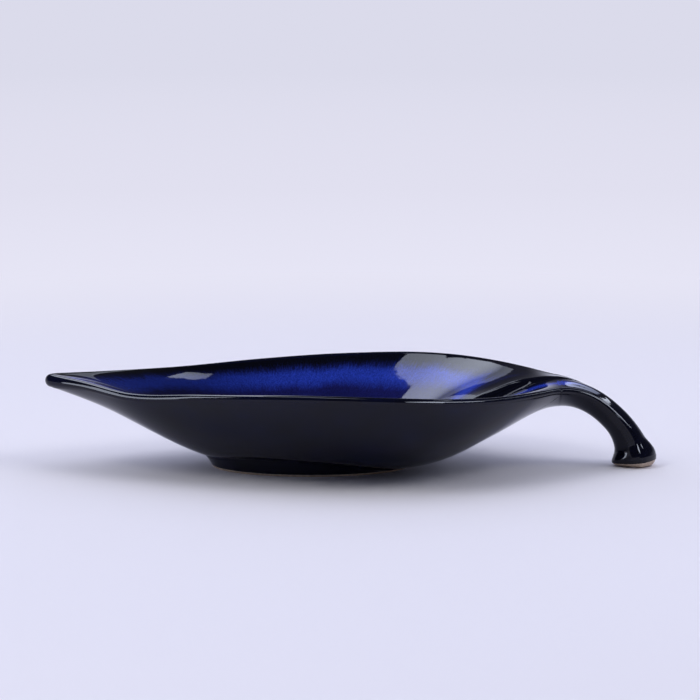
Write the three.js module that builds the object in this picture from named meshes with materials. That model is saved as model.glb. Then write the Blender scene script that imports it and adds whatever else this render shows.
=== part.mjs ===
import * as THREE from 'three';

// All sizes are millimetres. The leaf lies along X with its tip at zero, and the table is at Z zero.

// Outline of the leaf seen from above, measured to the middle of the rolled rim.
// Near the tip the rim runs askew, so its thickness across the leaf is stretched up to the skew limit.
const LEAF_WIDTH = 157;
const WIDEST_AT = 175;
const NECK_AT = 249;
const NECK_WIDTH = 50;
const TIP_ROUNDING = 4;
const RIM_SKEW_LIMIT = 1.8;

// Rolled rim, thicker at the tip
const RIM_RADIUS = 1.7;
const TIP_RADIUS = 3;
const TIP_RADIUS_RUN = 30;
const TIP_HEIGHT = 46.6;

// Lines along the leaf and on into the stem, as pairs of place and height
const NEAR_RIM = [
  [0, TIP_HEIGHT],
  [17, 44.9],
  [42, 41.5],
  [77, 44],
  [127, 46.7],
  [177, 46.5],
  [224, 43.6],
  [255, 42.2],
  [285, 40],
];
const FAR_RIM = [
  [0, TIP_HEIGHT],
  [22, 45.3],
  [62, 44.1],
  [102, 45.2],
  [147, 46.4],
  [212, 46.6],
  [255, 43.9],
  [285, 40],
];
const WELL_FLOOR = [
  [0, TIP_HEIGHT],
  [22, 43],
  [57, 30],
  [102, 11.5],
  [132, 10],
  [162, 10.5],
  [212, 27],
  [236, 37.5],
  [246, 41.4],
  [255, 42.9],
  [285, 42.2],
];
const KEEL = [
  [0, TIP_HEIGHT - 2 * TIP_RADIUS],
  [27, 30.4],
  [78, 6.8],
  [105, 3.4],
  [150, 2.4],
  [180, 2.4],
  [199, 6.7],
  [223, 17.6],
  [247, 29.4],
  [257, 31],
  [285, 29.6],
];

// How square the hollow is across, how far its edges lie level, and how square the outside is across
const WELL_POWER = [[0, 2], [60, 2.2], [120, 3], [195, 2.8], [240, 2], [285, 2]];
const LEVEL_EDGE = [[0, 1], [40, 0.8], [90, 0], [195, 0], [235, 0.7], [255, 1], [285, 0]];
const OUTSIDE_POWER = [[0, 1.5], [60, 2.2], [130, 3], [190, 2.8], [230, 2], [258, 1.8], [285, 2]];

// Fold at the neck, where the far half of the leaf steps up: its rise, its place across and its width
const FOLD_RISE = [
  [140, 0], [165, 0], [190, 2.4], [206, 5], [216, 6], [224, 5.6],
  [236, 4.5], [245, 2.4], [253, 1.5], [264, 1], [280, 0],
];
const FOLD_AT = [[140, 1], [224, 5], [255, 6], [280, 7]];
const FOLD_WIDTH = 4;

// Stem, which flares towards the table and swells to a toe just above its rounded end
const JOINT_PAST_NECK = 6;
const STEM_HEIGHT = 36.4;
const STEM_WIDTH = 12;
const STEM_RIM_RADIUS = 2.3;
const STEM_RIM_RUN = 30;
const STEM_REACH = 40;
const STEM_ROOT_PULL = 23;
const STEM_FOOT_PULL = 17;
const FLARE_RUN = 34;
const FLARE_POWER = 2.5;
const FLARE_OUT = 4;
const FLARE_IN = 6.2;
const FLARE_WIDE = 2.6;
const TOE_RUN = 13;
const TOE_OUT = 1.8;
const TOE_IN = 0.8;
const TOE_WIDE = 0.8;
const STEM_EDGE_ROUND = 5.5;

// Foot ring, an oval whose walls lean in towards the table, with most of the lean in the upper half
const RING_AT = 131;
const RING_LENGTH = 100.5;
const RING_DEPTH = 66;
const RING_CONTACT_WIDTH = 4;
const RING_EDGE_ROUND = 1.4;
const RING_LEAN = 3.4;
const RING_INNER_LEAN = 0.8;
const RING_WALL_BEND = 0.55;
const RECESS_HEIGHT = 5.2;

// Layers between and on the clay
const SLIP_THICKNESS = 0.6;
const GLAZE_THICKNESS = 0.4;

// Fineness of the faces
const SIDE_STEPS = 30;
const NECK_STEPS = 16;
const LIP_STEPS = 4;
const STEM_STEPS = 14;
const EDGE_STEPS = 6;
const GLAZED_EDGE_STEPS = 2;
const LENGTH_STEPS = 600;
const SLOPE_STEP = 0.05;
const WELL_ROWS = [0.2, 0.38, 0.53, 0.66, 0.77, 0.86, 0.93, 0.975];
const OUTSIDE_ROWS = [0.06, 0.18, 0.36, 0.58, 0.8];
const RECESS_ROWS = [0.5];
const STEP_CROWDING = 0.6;

const lineThrough = (points) => {
  const curve = new THREE.CubicInterpolant(points.map((p) => p[0]), points.map((p) => p[1]), 1);
  return (at) => curve.evaluate(at)[0];
};

const mix = (a, b, share) => a + (b - a) * share;

const nearRim = lineThrough(NEAR_RIM);
const farRim = lineThrough(FAR_RIM);
const wellFloor = lineThrough(WELL_FLOOR);
const keel = lineThrough(KEEL);
const wellPower = lineThrough(WELL_POWER);
const levelEdge = lineThrough(LEVEL_EDGE);
const outsidePower = lineThrough(OUTSIDE_POWER);
const foldRise = lineThrough(FOLD_RISE);
const foldAt = lineThrough(FOLD_AT);

const smoothStep = (share) => THREE.MathUtils.smoothstep(share, 0, 1);

// The stem's centre line bends from level at the neck to upright at the table
const jointAt = NECK_AT + JOINT_PAST_NECK;
const stemStart = jointAt + SLIP_THICKNESS;
const stemFootAt = stemStart + STEM_REACH;
const stemLine = new THREE.CubicBezierCurve3(
  new THREE.Vector3(stemStart, 0, STEM_HEIGHT),
  new THREE.Vector3(stemStart + STEM_ROOT_PULL, 0, STEM_HEIGHT),
  new THREE.Vector3(stemFootAt, 0, STEM_FOOT_PULL),
  new THREE.Vector3(stemFootAt, 0, 0),
);
const stemLength = stemLine.getLength();
const stemEnd = jointAt + stemLength;

// Growth of the stem towards the table
const swelling = (at, flare, toe) => {
  const left = stemEnd - at;
  const flareShare = Math.max(0, 1 - left / FLARE_RUN) ** FLARE_POWER;
  const toeShare = smoothStep((TOE_RUN - left) / (TOE_RUN - STEM_EDGE_ROUND));
  return flare * flareShare + toe * toeShare;
};

// Half of the width between the two rims
const halfWidth = (at) => {
  const widest = LEAF_WIDTH / 2;
  const neck = NECK_WIDTH / 2;
  const stem = STEM_WIDTH / 2;
  if (at < WIDEST_AT) {
    const reach = Math.sqrt(at * at + 2 * TIP_ROUNDING * at);
    const fullReach = Math.sqrt(WIDEST_AT * WIDEST_AT + 2 * TIP_ROUNDING * WIDEST_AT);
    return widest * Math.sin((Math.PI / 2) * (reach / fullReach));
  }
  if (at < NECK_AT) {
    const share = (at - WIDEST_AT) / (NECK_AT - WIDEST_AT);
    return mix(widest, neck, share * share);
  }
  const neckSlope = (2 * (widest - neck)) / (NECK_AT - WIDEST_AT);
  const run = (3 * (neck - stem)) / neckSlope;
  const share = Math.min((at - NECK_AT) / run, 1);
  return mix(stem, neck, (1 - share) ** 3) + swelling(at, FLARE_WIDE, TOE_WIDE);
};

const halfWidthSlope = (at) => {
  const back = Math.max(at - SLOPE_STEP, 0);
  const ahead = at + SLOPE_STEP;
  return (halfWidth(ahead) - halfWidth(back)) / (ahead - back);
};

const rimRadius = (at) => {
  const tipShare = Math.max(0, 1 - at / TIP_RADIUS_RUN) ** 2;
  const stemShare = Math.min(Math.max((at - jointAt) / STEM_RIM_RUN, 0), 1);
  return mix(mix(RIM_RADIUS, TIP_RADIUS, tipShare), STEM_RIM_RADIUS, stemShare);
};

const floorHeight = (at) => wellFloor(at) + swelling(at, FLARE_OUT, TOE_OUT);
const keelHeight = (at) => keel(at) - swelling(at, FLARE_IN, TOE_IN);

// The rolled rim is a round edge that both faces of the leaf run into
const rimAt = (at, side) => {
  const radius = rimRadius(at);
  const centre = (side < 0 ? nearRim(at) : farRim(at)) - radius;
  const skew = Math.min(Math.hypot(1, halfWidthSlope(at)), RIM_SKEW_LIMIT);
  const span = Math.max(halfWidth(at), TIP_RADIUS) / skew;
  const topRise = (centre + radius - floorHeight(at)) * (1 - levelEdge(at)) * wellPower(at);
  const underRise = (centre - radius - keelHeight(at)) * outsidePower(at);
  const topAngle = Math.atan(topRise / span);
  const underAngle = Math.atan(underRise / span);
  const topEdge = centre + radius / Math.cos(topAngle);
  const underEdge = centre - radius / Math.cos(underAngle);
  return { radius, centre, skew, topAngle, underAngle, topEdge, underEdge };
};

// Points of the round edge from the top face over to the underside, as reach outwards and height
const rimArc = (rim) => {
  const start = Math.PI / 2 + rim.topAngle;
  const end = rim.underAngle - Math.PI / 2;
  const points = [];
  for (let i = 0; i <= LIP_STEPS; i += 1) {
    const angle = mix(start, end, i / LIP_STEPS);
    points.push([rim.radius * Math.cos(angle), rim.centre + rim.radius * Math.sin(angle)]);
  }
  return points;
};

// Height of the top face, where across runs from minus one at the near rim to one at the far rim
const topHeight = (at, across) => {
  const chord = (share) => mix(rimAt(at, -1).topEdge, rimAt(at, 1).topEdge, share);
  const hollow = 1 - Math.abs(across) ** wellPower(at);
  const levelHollow = (1 - Math.min(across * across, 1)) ** 2;
  const depth = chord(0.5) - floorHeight(at);
  const pastFold = (across * halfWidth(at) - foldAt(at)) / FOLD_WIDTH;
  const fold = Math.max(foldRise(at), 0) * smoothStep(0.5 + pastFold) * levelHollow;
  return chord((1 + across) / 2) - depth * mix(hollow, levelHollow, levelEdge(at)) + fold;
};

const underHeight = (at, across) => {
  const chord = (share) => mix(rimAt(at, -1).underEdge, rimAt(at, 1).underEdge, share);
  const depth = chord(0.5) - keelHeight(at);
  return chord((1 + across) / 2) - depth * (1 - Math.abs(across) ** outsidePower(at));
};

// Closed outline across the leaf or the stem: top face, far rim, underside, near rim
const crossSection = (at) => {
  const half = halfWidth(at);
  const sides = [-1, 1].map((side) => {
    const rim = rimAt(at, side);
    return rimArc(rim).map(([out, height]) => [side * (half + rim.skew * out), height]);
  });
  const [near, far] = sides;
  const loop = [near[0]];
  for (let i = 1; i < NECK_STEPS; i += 1) {
    const across = mix(near[0][0], far[0][0], i / NECK_STEPS);
    loop.push([across, topHeight(at, across / half)]);
  }
  loop.push(...far);
  for (let i = 1; i < NECK_STEPS; i += 1) {
    const across = mix(far[LIP_STEPS][0], near[LIP_STEPS][0], i / NECK_STEPS);
    loop.push([across, underHeight(at, across / half)]);
  }
  loop.push(...near.slice(1).reverse());
  return loop;
};

// Places along one side of the leaf, crowded towards the tip and the neck
const sidePlaces = () => {
  const lengths = [0];
  for (let i = 1; i <= LENGTH_STEPS; i += 1) {
    const from = (jointAt * (i - 1)) / LENGTH_STEPS;
    const to = (jointAt * i) / LENGTH_STEPS;
    lengths.push(lengths[i - 1] + Math.hypot(to - from, halfWidth(to) - halfWidth(from)));
  }
  const places = [];
  for (let i = 1; i < SIDE_STEPS; i += 1) {
    const share = i / SIDE_STEPS;
    const crowded = share - (STEP_CROWDING * Math.sin(2 * Math.PI * share)) / (2 * Math.PI);
    const wanted = crowded * lengths[LENGTH_STEPS];
    const after = lengths.findIndex((length) => length > wanted);
    const part = (wanted - lengths[after - 1]) / (lengths[after] - lengths[after - 1]);
    places.push((jointAt * (after - 1 + part)) / LENGTH_STEPS);
  }
  return places;
};

// The rim's points at one place on a side of the leaf, facing straight out from the outline
const rimColumn = (at, side) => {
  const slope = halfWidthSlope(at);
  const outward = at === 0 ? new THREE.Vector2(-1, 0) : new THREE.Vector2(-slope, side).normalize();
  return rimArc(rimAt(at, side)).map(([out, height]) => new THREE.Vector3(
    at + outward.x * out,
    side * halfWidth(at) + outward.y * out,
    height,
  ));
};

// The rim's points all the way round: tip, near side, joint face, far side
const jointLoop = crossSection(jointAt).map(([y, z]) => new THREE.Vector3(jointAt, y, z));
const jointColumn = (step) => {
  const top = jointLoop[step];
  const underStart = NECK_STEPS + LIP_STEPS;
  const under = jointLoop[underStart + NECK_STEPS - step];
  const column = [];
  for (let i = 0; i <= LIP_STEPS; i += 1) {
    column.push(top.clone().lerp(under, i / LIP_STEPS));
  }
  return column;
};
const farJointColumn = jointLoop.slice(NECK_STEPS, NECK_STEPS + LIP_STEPS + 1);
const nearJointColumn = [jointLoop[0], ...jointLoop.slice(2 * NECK_STEPS + LIP_STEPS).reverse()];

const places = sidePlaces();
const columns = [rimColumn(0, -1)];
places.forEach((at) => columns.push(rimColumn(at, -1)));
const nearJointIndex = columns.length;
columns.push(nearJointColumn);
for (let step = 1; step < NECK_STEPS; step += 1) {
  columns.push(jointColumn(step));
}
const farJointIndex = columns.length;
columns.push(farJointColumn);
[...places].reverse().forEach((at) => columns.push(rimColumn(at, 1)));

// Rows of points round the leaf, from the middle of the well over the rim to the middle underneath
const centre = new THREE.Vector2(RING_AT, 0);
const ovalPoint = (toward, halfLength, halfDepth) => {
  const angle = Math.atan2(toward.y - centre.y, toward.x - centre.x);
  const reach = 1 / Math.hypot(Math.cos(angle) / halfLength, Math.sin(angle) / halfDepth);
  return new THREE.Vector2(centre.x + reach * Math.cos(angle), centre.y + reach * Math.sin(angle));
};
const shareAcross = (x, y) => y / Math.max(halfWidth(x), TIP_RADIUS);
const onTop = (x, y) => new THREE.Vector3(x, y, topHeight(x, shareAcross(x, y)));
const onUnder = (x, y) => new THREE.Vector3(x, y, underHeight(x, shareAcross(x, y)));

const ovalRow = (inset, height) => columns.map((column) => {
  const place = ovalPoint(column[LIP_STEPS], RING_LENGTH / 2 - inset, RING_DEPTH / 2 - inset);
  return new THREE.Vector3(place.x, place.y, height);
});

const wellRows = WELL_ROWS.map((share) => columns.map((column) => (
  onTop(mix(centre.x, column[0].x, share), mix(centre.y, column[0].y, share))
)));
const lipRows = [];
for (let i = 0; i <= LIP_STEPS; i += 1) {
  lipRows.push(columns.map((column) => column[i].clone()));
}
const seatRow = ovalRow(-RING_LEAN, 0).map((point) => onUnder(point.x, point.y));
const outsideRows = OUTSIDE_ROWS.map((share) => columns.map((column, k) => {
  const edge = column[LIP_STEPS];
  return onUnder(mix(edge.x, seatRow[k].x, share), mix(edge.y, seatRow[k].y, share));
}));
const ringInset = RING_CONTACT_WIDTH + 2 * RING_EDGE_ROUND;
const recessRow = ovalRow(ringInset + RING_INNER_LEAN, RECESS_HEIGHT);
const recessRows = RECESS_ROWS.map((share) => recessRow.map((point) => new THREE.Vector3(
  mix(point.x, centre.x, share),
  mix(point.y, centre.y, share),
  RECESS_HEIGHT,
)));
const lowered = (row) => row.map((point) => new THREE.Vector3(point.x, point.y, point.z - SLIP_THICKNESS));
const ringTopRow = lowered(seatRow);
const ringInnerTopRow = lowered(recessRow);
const ringLowRow = ovalRow(0, RING_EDGE_ROUND);
const ringWallRow = ringTopRow.map((point, k) => {
  const bend = point.clone().lerp(ringLowRow[k], RING_WALL_BEND);
  return bend.setZ((point.z + ringLowRow[k].z) / 2);
});
const contactOuterRow = ovalRow(RING_EDGE_ROUND, 0);
const contactInnerRow = ovalRow(RING_EDGE_ROUND + RING_CONTACT_WIDTH, 0);
const ringInnerLowRow = ovalRow(ringInset, RING_EDGE_ROUND);
const wellCentre = [onTop(centre.x, centre.y)];
const recessCentre = [new THREE.Vector3(centre.x, centre.y, RECESS_HEIGHT)];

// A grid of points with one number per place, where a row of one point closes an end
const numberRows = (rows) => {
  const points = [];
  const width = Math.max(...rows.map((row) => row.length));
  const numbers = rows.map((row) => {
    const first = points.length;
    points.push(...row);
    return Array.from({ length: width }, (_, k) => first + (row.length === 1 ? 0 : k));
  });
  return { points, numbers, width };
};

// Each four-sided place is split along its shorter diagonal, so that touching pieces are split alike
const gridFaces = (points, numbers, width, keep) => {
  const faces = [];
  for (let i = 0; i + 1 < numbers.length; i += 1) {
    for (let k = 0; k < width; k += 1) {
      if (keep(i, k)) {
        const next = (k + 1) % width;
        const [a, b] = [numbers[i][k], numbers[i][next]];
        const [c, d] = [numbers[i + 1][k], numbers[i + 1][next]];
        if (points[a].distanceTo(points[d]) < points[b].distanceTo(points[c])) {
          faces.push([a, c, d], [a, d, b]);
        } else {
          faces.push([a, c, b], [b, c, d]);
        }
      }
    }
  }
  return faces.filter(([a, b, c]) => a !== b && b !== c && c !== a);
};

const meshOf = (points, faces, look, name) => {
  const used = [...new Set(faces.flat())];
  const place = new Map(used.map((number, i) => [number, i]));
  const geometry = new THREE.BufferGeometry();
  const flat = used.flatMap((number) => points[number].toArray());
  geometry.setAttribute('position', new THREE.Float32BufferAttribute(flat, 3));
  geometry.setIndex(faces.flat().map((number) => place.get(number)));
  geometry.computeVertexNormals();
  const mesh = new THREE.Mesh(geometry, new THREE.MeshStandardMaterial(look));
  mesh.name = name;
  return mesh;
};

const solidOf = (rows, look, name) => {
  const { points, numbers, width } = numberRows(rows);
  const isLoop = rows[0].length > 1;
  const looped = isLoop ? [...numbers, numbers[0]] : numbers;
  return meshOf(points, gridFaces(points, looped, width, () => true), look, name);
};

// A coat of even thickness on chosen rows and columns of a clay surface
const coatOf = (rows, keep, flatEnds, look, name) => {
  const { points, numbers, width } = numberRows(rows);
  const surface = new THREE.BufferGeometry();
  const flat = points.flatMap((point) => point.toArray());
  surface.setAttribute('position', new THREE.Float32BufferAttribute(flat, 3));
  surface.setIndex(gridFaces(points, numbers, width, () => true).flat());
  surface.computeVertexNormals();
  const normals = surface.getAttribute('normal');
  const glazed = points.map((point, i) => {
    const normal = new THREE.Vector3().fromBufferAttribute(normals, i);
    if (flatEnds.has(i)) {
      normal.setX(0).normalize();
    }
    return point.clone().addScaledVector(normal, GLAZE_THICKNESS);
  });
  const lift = points.length;
  const outer = gridFaces(points, numbers, width, keep).map((face) => face.map((number) => number + lift));
  const inner = gridFaces(points, numbers, width, keep).map(([a, b, c]) => [a, c, b]);
  const walls = [];
  const addWall = (a, b) => {
    if (a < b) {
      walls.push([a, b, b + lift], [a, b + lift, a + lift]);
    }
    if (a > b) {
      walls.push([a, b, a + lift], [b, b + lift, a + lift]);
    }
  };
  const last = numbers.length - 2;
  for (let i = 0; i <= last; i += 1) {
    for (let k = 0; k < width; k += 1) {
      if (keep(i, k)) {
        const next = (k + 1) % width;
        if (i === 0 || !keep(i - 1, k)) {
          addWall(numbers[i][next], numbers[i][k]);
        }
        if (i === last || !keep(i + 1, k)) {
          addWall(numbers[i + 1][k], numbers[i + 1][next]);
        }
        if (!keep(i, (k + width - 1) % width)) {
          addWall(numbers[i][k], numbers[i + 1][k]);
        }
        if (!keep(i, next)) {
          addWall(numbers[i + 1][next], numbers[i][next]);
        }
      }
    }
  }
  return meshOf([...points, ...glazed], [...outer, ...inner, ...walls], look, name);
};

// Looks
const CLAY = { color: 0xb08a66, roughness: 0.85, metalness: 0 };
const SLIP = { color: 0x9a7652, roughness: 0.9, metalness: 0 };
const COBALT = { color: 0x16237a, roughness: 0.12, metalness: 0 };
const BLACK = { color: 0x0b0b10, roughness: 0.08, metalness: 0 };

// Clay pieces and slip joints of the leaf
const shellRows = [
  wellCentre,
  ...wellRows,
  ...lipRows,
  ...outsideRows,
  seatRow,
  recessRow,
  ...recessRows,
  recessCentre,
];
const ringRows = [
  ringTopRow,
  ringWallRow,
  ringLowRow,
  contactOuterRow,
  contactInnerRow,
  ringInnerLowRow,
  ringInnerTopRow,
];
const leafShell = solidOf(shellRows, CLAY, 'leaf_shell');
const footRing = solidOf(ringRows, CLAY, 'foot_ring');
const footSlip = solidOf([seatRow, ringTopRow, ringInnerTopRow, recessRow], SLIP, 'foot_slip_joint');

// Glaze on the leaf and the ring follows the whole outside of the joined clay
const wholeRows = [
  wellCentre,
  ...wellRows,
  ...lipRows,
  ...outsideRows,
  seatRow,
  ...ringRows,
  recessRow,
  ...recessRows,
  recessCentre,
];
const rimRow = 1 + wellRows.length;
const underRimRow = rimRow + LIP_STEPS;
const ringLow = wholeRows.indexOf(ringLowRow);
const ringInnerLow = wholeRows.indexOf(ringInnerLowRow);
const onJointFace = (k) => k >= nearJointIndex && k < farJointIndex;
const width = columns.length;
const flatEnds = new Set();
for (let i = rimRow; i <= underRimRow; i += 1) {
  for (let k = nearJointIndex; k <= farJointIndex; k += 1) {
    flatEnds.add(1 + (i - 1) * width + k);
  }
}
const inWell = (i) => i < rimRow;
const onOutside = (i, k) => i >= (onJointFace(k) ? underRimRow : rimRow) && i < ringLow;
const inRecess = (i) => i >= ringInnerLow;
const wellGlaze = coatOf(wholeRows, inWell, flatEnds, COBALT, 'well_glaze');
const outerGlaze = coatOf(wholeRows, onOutside, flatEnds, BLACK, 'outer_glaze');
const recessGlaze = coatOf(wholeRows, inRecess, flatEnds, BLACK, 'recess_glaze');

// Stem: cross sections carried along the bent centre line, with the bottom edge rounded off
const stemRow = (along, inset) => {
  const share = along / stemLength;
  const place = stemLine.getPointAt(share);
  const forward = stemLine.getTangentAt(share);
  const up = new THREE.Vector3(-forward.z, 0, forward.x);
  return crossSection(jointAt + along).map(([y, z]) => {
    const out = Math.hypot(y, z - STEM_HEIGHT);
    const shrink = (out - inset) / out;
    const point = place.clone().addScaledVector(up, (z - STEM_HEIGHT) * shrink);
    return point.setY(y * shrink);
  });
};
const stemRows = [];
const plainLength = stemLength - STEM_EDGE_ROUND;
for (let i = 0; i <= STEM_STEPS; i += 1) {
  stemRows.push(stemRow((plainLength * i) / STEM_STEPS, 0));
}
const bareRow = stemRows.length + GLAZED_EDGE_STEPS;
for (let i = 1; i <= EDGE_STEPS; i += 1) {
  const angle = ((Math.PI / 2) * i) / EDGE_STEPS;
  const along = plainLength + STEM_EDGE_ROUND * Math.sin(angle);
  stemRows.push(stemRow(along, STEM_EDGE_ROUND * (1 - Math.cos(angle))));
}
const middleOf = (row) => {
  const middle = new THREE.Vector3();
  row.forEach((point) => middle.addScaledVector(point, 1 / row.length));
  return [middle];
};
const stemHandle = solidOf(
  [middleOf(stemRows[0]), ...stemRows, middleOf(stemRows[stemRows.length - 1])],
  CLAY,
  'stem_handle',
);
const stemSlip = solidOf(
  [middleOf(jointLoop), jointLoop, stemRows[0], middleOf(stemRows[0])],
  SLIP,
  'stem_slip_joint',
);
const stemCoatRows = [jointLoop, ...stemRows];
const stemFlatEnds = new Set(jointLoop.map((_, k) => k));
const onStem = (i) => i < bareRow;
const stemGlaze = coatOf(stemCoatRows, onStem, stemFlatEnds, BLACK, 'stem_glaze');

// Put the origin on the table under the middle of the whole platter
const platter = new THREE.Group();
platter.name = 'ceramic_platter';
const pieces = [
  leafShell,
  footRing,
  stemHandle,
  footSlip,
  stemSlip,
  wellGlaze,
  outerGlaze,
  recessGlaze,
  stemGlaze,
];
const box = new THREE.Box3();
pieces.forEach((piece) => box.union(new THREE.Box3().setFromObject(piece)));
const middle = box.getCenter(new THREE.Vector3());
pieces.forEach((piece) => {
  piece.geometry.translate(-middle.x, -middle.y, -box.min.z);
  platter.add(piece);
});

export default platter;
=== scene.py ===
import math

import bpy
import numpy as np
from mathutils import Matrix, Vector


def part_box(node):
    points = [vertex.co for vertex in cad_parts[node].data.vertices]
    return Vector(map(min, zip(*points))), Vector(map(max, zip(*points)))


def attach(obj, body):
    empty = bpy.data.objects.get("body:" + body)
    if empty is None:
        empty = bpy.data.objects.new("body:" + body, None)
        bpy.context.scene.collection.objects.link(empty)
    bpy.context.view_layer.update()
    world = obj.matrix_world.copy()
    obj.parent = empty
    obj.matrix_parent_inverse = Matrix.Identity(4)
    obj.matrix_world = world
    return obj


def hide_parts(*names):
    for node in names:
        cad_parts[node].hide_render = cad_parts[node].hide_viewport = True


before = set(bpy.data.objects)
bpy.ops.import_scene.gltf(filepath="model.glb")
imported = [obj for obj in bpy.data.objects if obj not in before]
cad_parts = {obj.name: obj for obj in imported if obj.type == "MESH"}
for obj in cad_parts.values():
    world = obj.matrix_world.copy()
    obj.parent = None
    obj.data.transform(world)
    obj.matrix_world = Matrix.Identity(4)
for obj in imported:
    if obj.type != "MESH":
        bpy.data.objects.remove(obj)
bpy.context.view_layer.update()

# The platter is worked out in millimetres along its length from the tip, as in the part's source
MM = 0.001

# Outline of the leaf seen from above
LEAF_WIDTH = 157
WIDEST_AT = 175
NECK_AT = 249
NECK_WIDTH = 50
TIP_ROUNDING = 4
RIM_SKEW_LIMIT = 1.8

# Rolled rim
RIM_RADIUS = 1.7
TIP_RADIUS = 3
TIP_RADIUS_RUN = 30
TIP_HEIGHT = 46.6

# Lines along the leaf and on into the stem, as pairs of place and height
NEAR_RIM = [
    (0, TIP_HEIGHT), (17, 44.9), (42, 41.5), (77, 44), (127, 46.7),
    (177, 46.5), (224, 43.6), (255, 42.2), (285, 40),
]
FAR_RIM = [
    (0, TIP_HEIGHT), (22, 45.3), (62, 44.1), (102, 45.2),
    (147, 46.4), (212, 46.6), (255, 43.9), (285, 40),
]
WELL_FLOOR = [
    (0, TIP_HEIGHT), (22, 43), (57, 30), (102, 11.5), (132, 10),
    (162, 10.5), (212, 27), (236, 37.5), (246, 41.4), (255, 42.9), (285, 42.2),
]
KEEL = [
    (0, TIP_HEIGHT - 2 * TIP_RADIUS), (27, 30.4), (78, 6.8), (105, 3.4), (150, 2.4), (180, 2.4),
    (199, 6.7), (223, 17.6), (247, 29.4), (257, 31), (285, 29.6),
]
WELL_POWER = [(0, 2), (60, 2.2), (120, 3), (195, 2.8), (240, 2), (285, 2)]
LEVEL_EDGE = [(0, 1), (40, 0.8), (90, 0), (195, 0), (235, 0.7), (255, 1), (285, 0)]
OUTSIDE_POWER = [(0, 1.5), (60, 2.2), (130, 3), (190, 2.8), (230, 2), (258, 1.8), (285, 2)]

# Fold at the neck, where the far half of the leaf steps up: its rise, its place and its width
FOLD_RISE = [
    (140, 0), (165, 0), (190, 2.4), (206, 5), (216, 6), (224, 5.6),
    (236, 4.5), (245, 2.4), (253, 1.5), (264, 1), (280, 0),
]
FOLD_AT = [(140, 1), (224, 5), (255, 6), (280, 7)]
FOLD_WIDTH = 4
FOLD_SHOWS_FROM = 212

# Stem
JOINT_PAST_NECK = 6
STEM_HEIGHT = 36.4
STEM_WIDTH = 12
STEM_RIM_RADIUS = 2.3
STEM_RIM_RUN = 30
STEM_REACH = 40
STEM_ROOT_PULL = 23
STEM_FOOT_PULL = 17
FLARE_RUN = 34
FLARE_POWER = 2.5
FLARE_OUT = 4
FLARE_IN = 6.2
FLARE_WIDE = 2.6
TOE_RUN = 13
TOE_OUT = 1.8
TOE_IN = 0.8
TOE_WIDE = 0.8
STEM_EDGE_ROUND = 5.5

# Foot ring
RING_AT = 131
RING_LENGTH = 100.5
RING_DEPTH = 66
RING_CONTACT_WIDTH = 4
RING_EDGE_ROUND = 1.4
RING_LEAN = 3.4
RING_INNER_LEAN = 0.8
RING_WALL_BEND = 0.55
RECESS_HEIGHT = 5.2

# Layers between and on the clay
SLIP_THICKNESS = 0.6
GLAZE_THICKNESS = 0.3

# On the far side near the neck the black of the rim reaches further down
NECK_DARKENS_FROM = 180
NECK_DARKENS_OVER = 45
NECK_DARKENS_BY = 0.7

# Towards the deepest part the blue reaches further down the wall
BELLY_BLUE_FROM = 145
BELLY_BLUE_OVER = 35
BELLY_BLUE_BY = 0.27

# At the tip the blue comes closer to the near rim and keeps further from the far one, where it is
# darker, and past the joint it fades out along the stem
TIP_BLUE_TO = 30
TIP_BLUE_FADE = 40
TIP_BLUE_ACROSS = 6
TIP_BLUE_BY = 2
TIP_BLACK_BY = 0.4
# Darkening of the colour on the far side towards the tip: where it ends, over how long it fades, and by
# how much
TIP_DIMS_TO = 60
TIP_DIMS_FADE = 70
TIP_DIMS_BY = 0.72
STEM_BLUE_RUN = 30

# Fineness of the faces
SIDE_STEPS = 130
NECK_STEPS = 44
LIP_STEPS = 12
STEM_STEPS = 70
EDGE_STEPS = 6
GLAZED_EDGE_STEPS = 2
WELL_STEPS = 46
OUTSIDE_STEPS = 30
RING_WALL_STEPS = 8
RECESS_STEPS = 6
LENGTH_STEPS = 3000
SLOPE_STEP = 0.05
SECTION_STEP = 0.5
STEP_CROWDING = 0.6
WELL_CROWDING = 1.5
OUTSIDE_CROWDING = 1.3

# From here towards the neck the normals come more and more from the slope of the surface itself
EXACT_FROM = 160
EXACT_OVER = 40


def mix(a, b, share):
    return a + (b - a) * share


def unit(vectors):
    """Vectors of length one, apart from those with no length."""
    length = np.linalg.norm(vectors, axis=-1, keepdims=True)
    return vectors / np.where(length > 0, length, 1)


def line_through(points):
    """A smooth curve through pairs of place and height, level with its end heights outside them."""
    places = np.array([place for place, _ in points], float)
    heights = np.array([height for _, height in points], float)
    last = len(places) - 1

    def line(at):
        after = np.clip(np.searchsorted(places, at, side="right"), 1, last)
        before = after - 1
        start, end = places[before], places[after]
        height_0, height_1 = heights[before], heights[after]
        has_earlier = before > 0
        has_later = after < last
        earlier = np.where(has_earlier, places[before - 1], end)
        later = np.where(has_later, places[np.minimum(after + 1, last)], start)
        height_earlier = np.where(has_earlier, heights[before - 1], height_1)
        height_later = np.where(has_later, heights[np.minimum(after + 1, last)], height_0)
        weight_0 = (end - start) / 2 / (start - earlier)
        weight_1 = (end - start) / 2 / (later - end)
        p = np.clip((at - start) / (end - start), 0, 1)
        from_earlier = weight_0 * (-p**3 + 2 * p**2 - p)
        from_0 = (1 + weight_0) * p**3 - (1.5 + 2 * weight_0) * p**2 + (weight_0 - 0.5) * p + 1
        from_1 = -(1 + weight_1) * p**3 + (1.5 + weight_1) * p**2 + 0.5 * p
        from_later = weight_1 * (p**3 - p**2)
        inside = from_0 * height_0 + from_1 * height_1
        return inside + from_earlier * height_earlier + from_later * height_later

    return line


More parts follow.
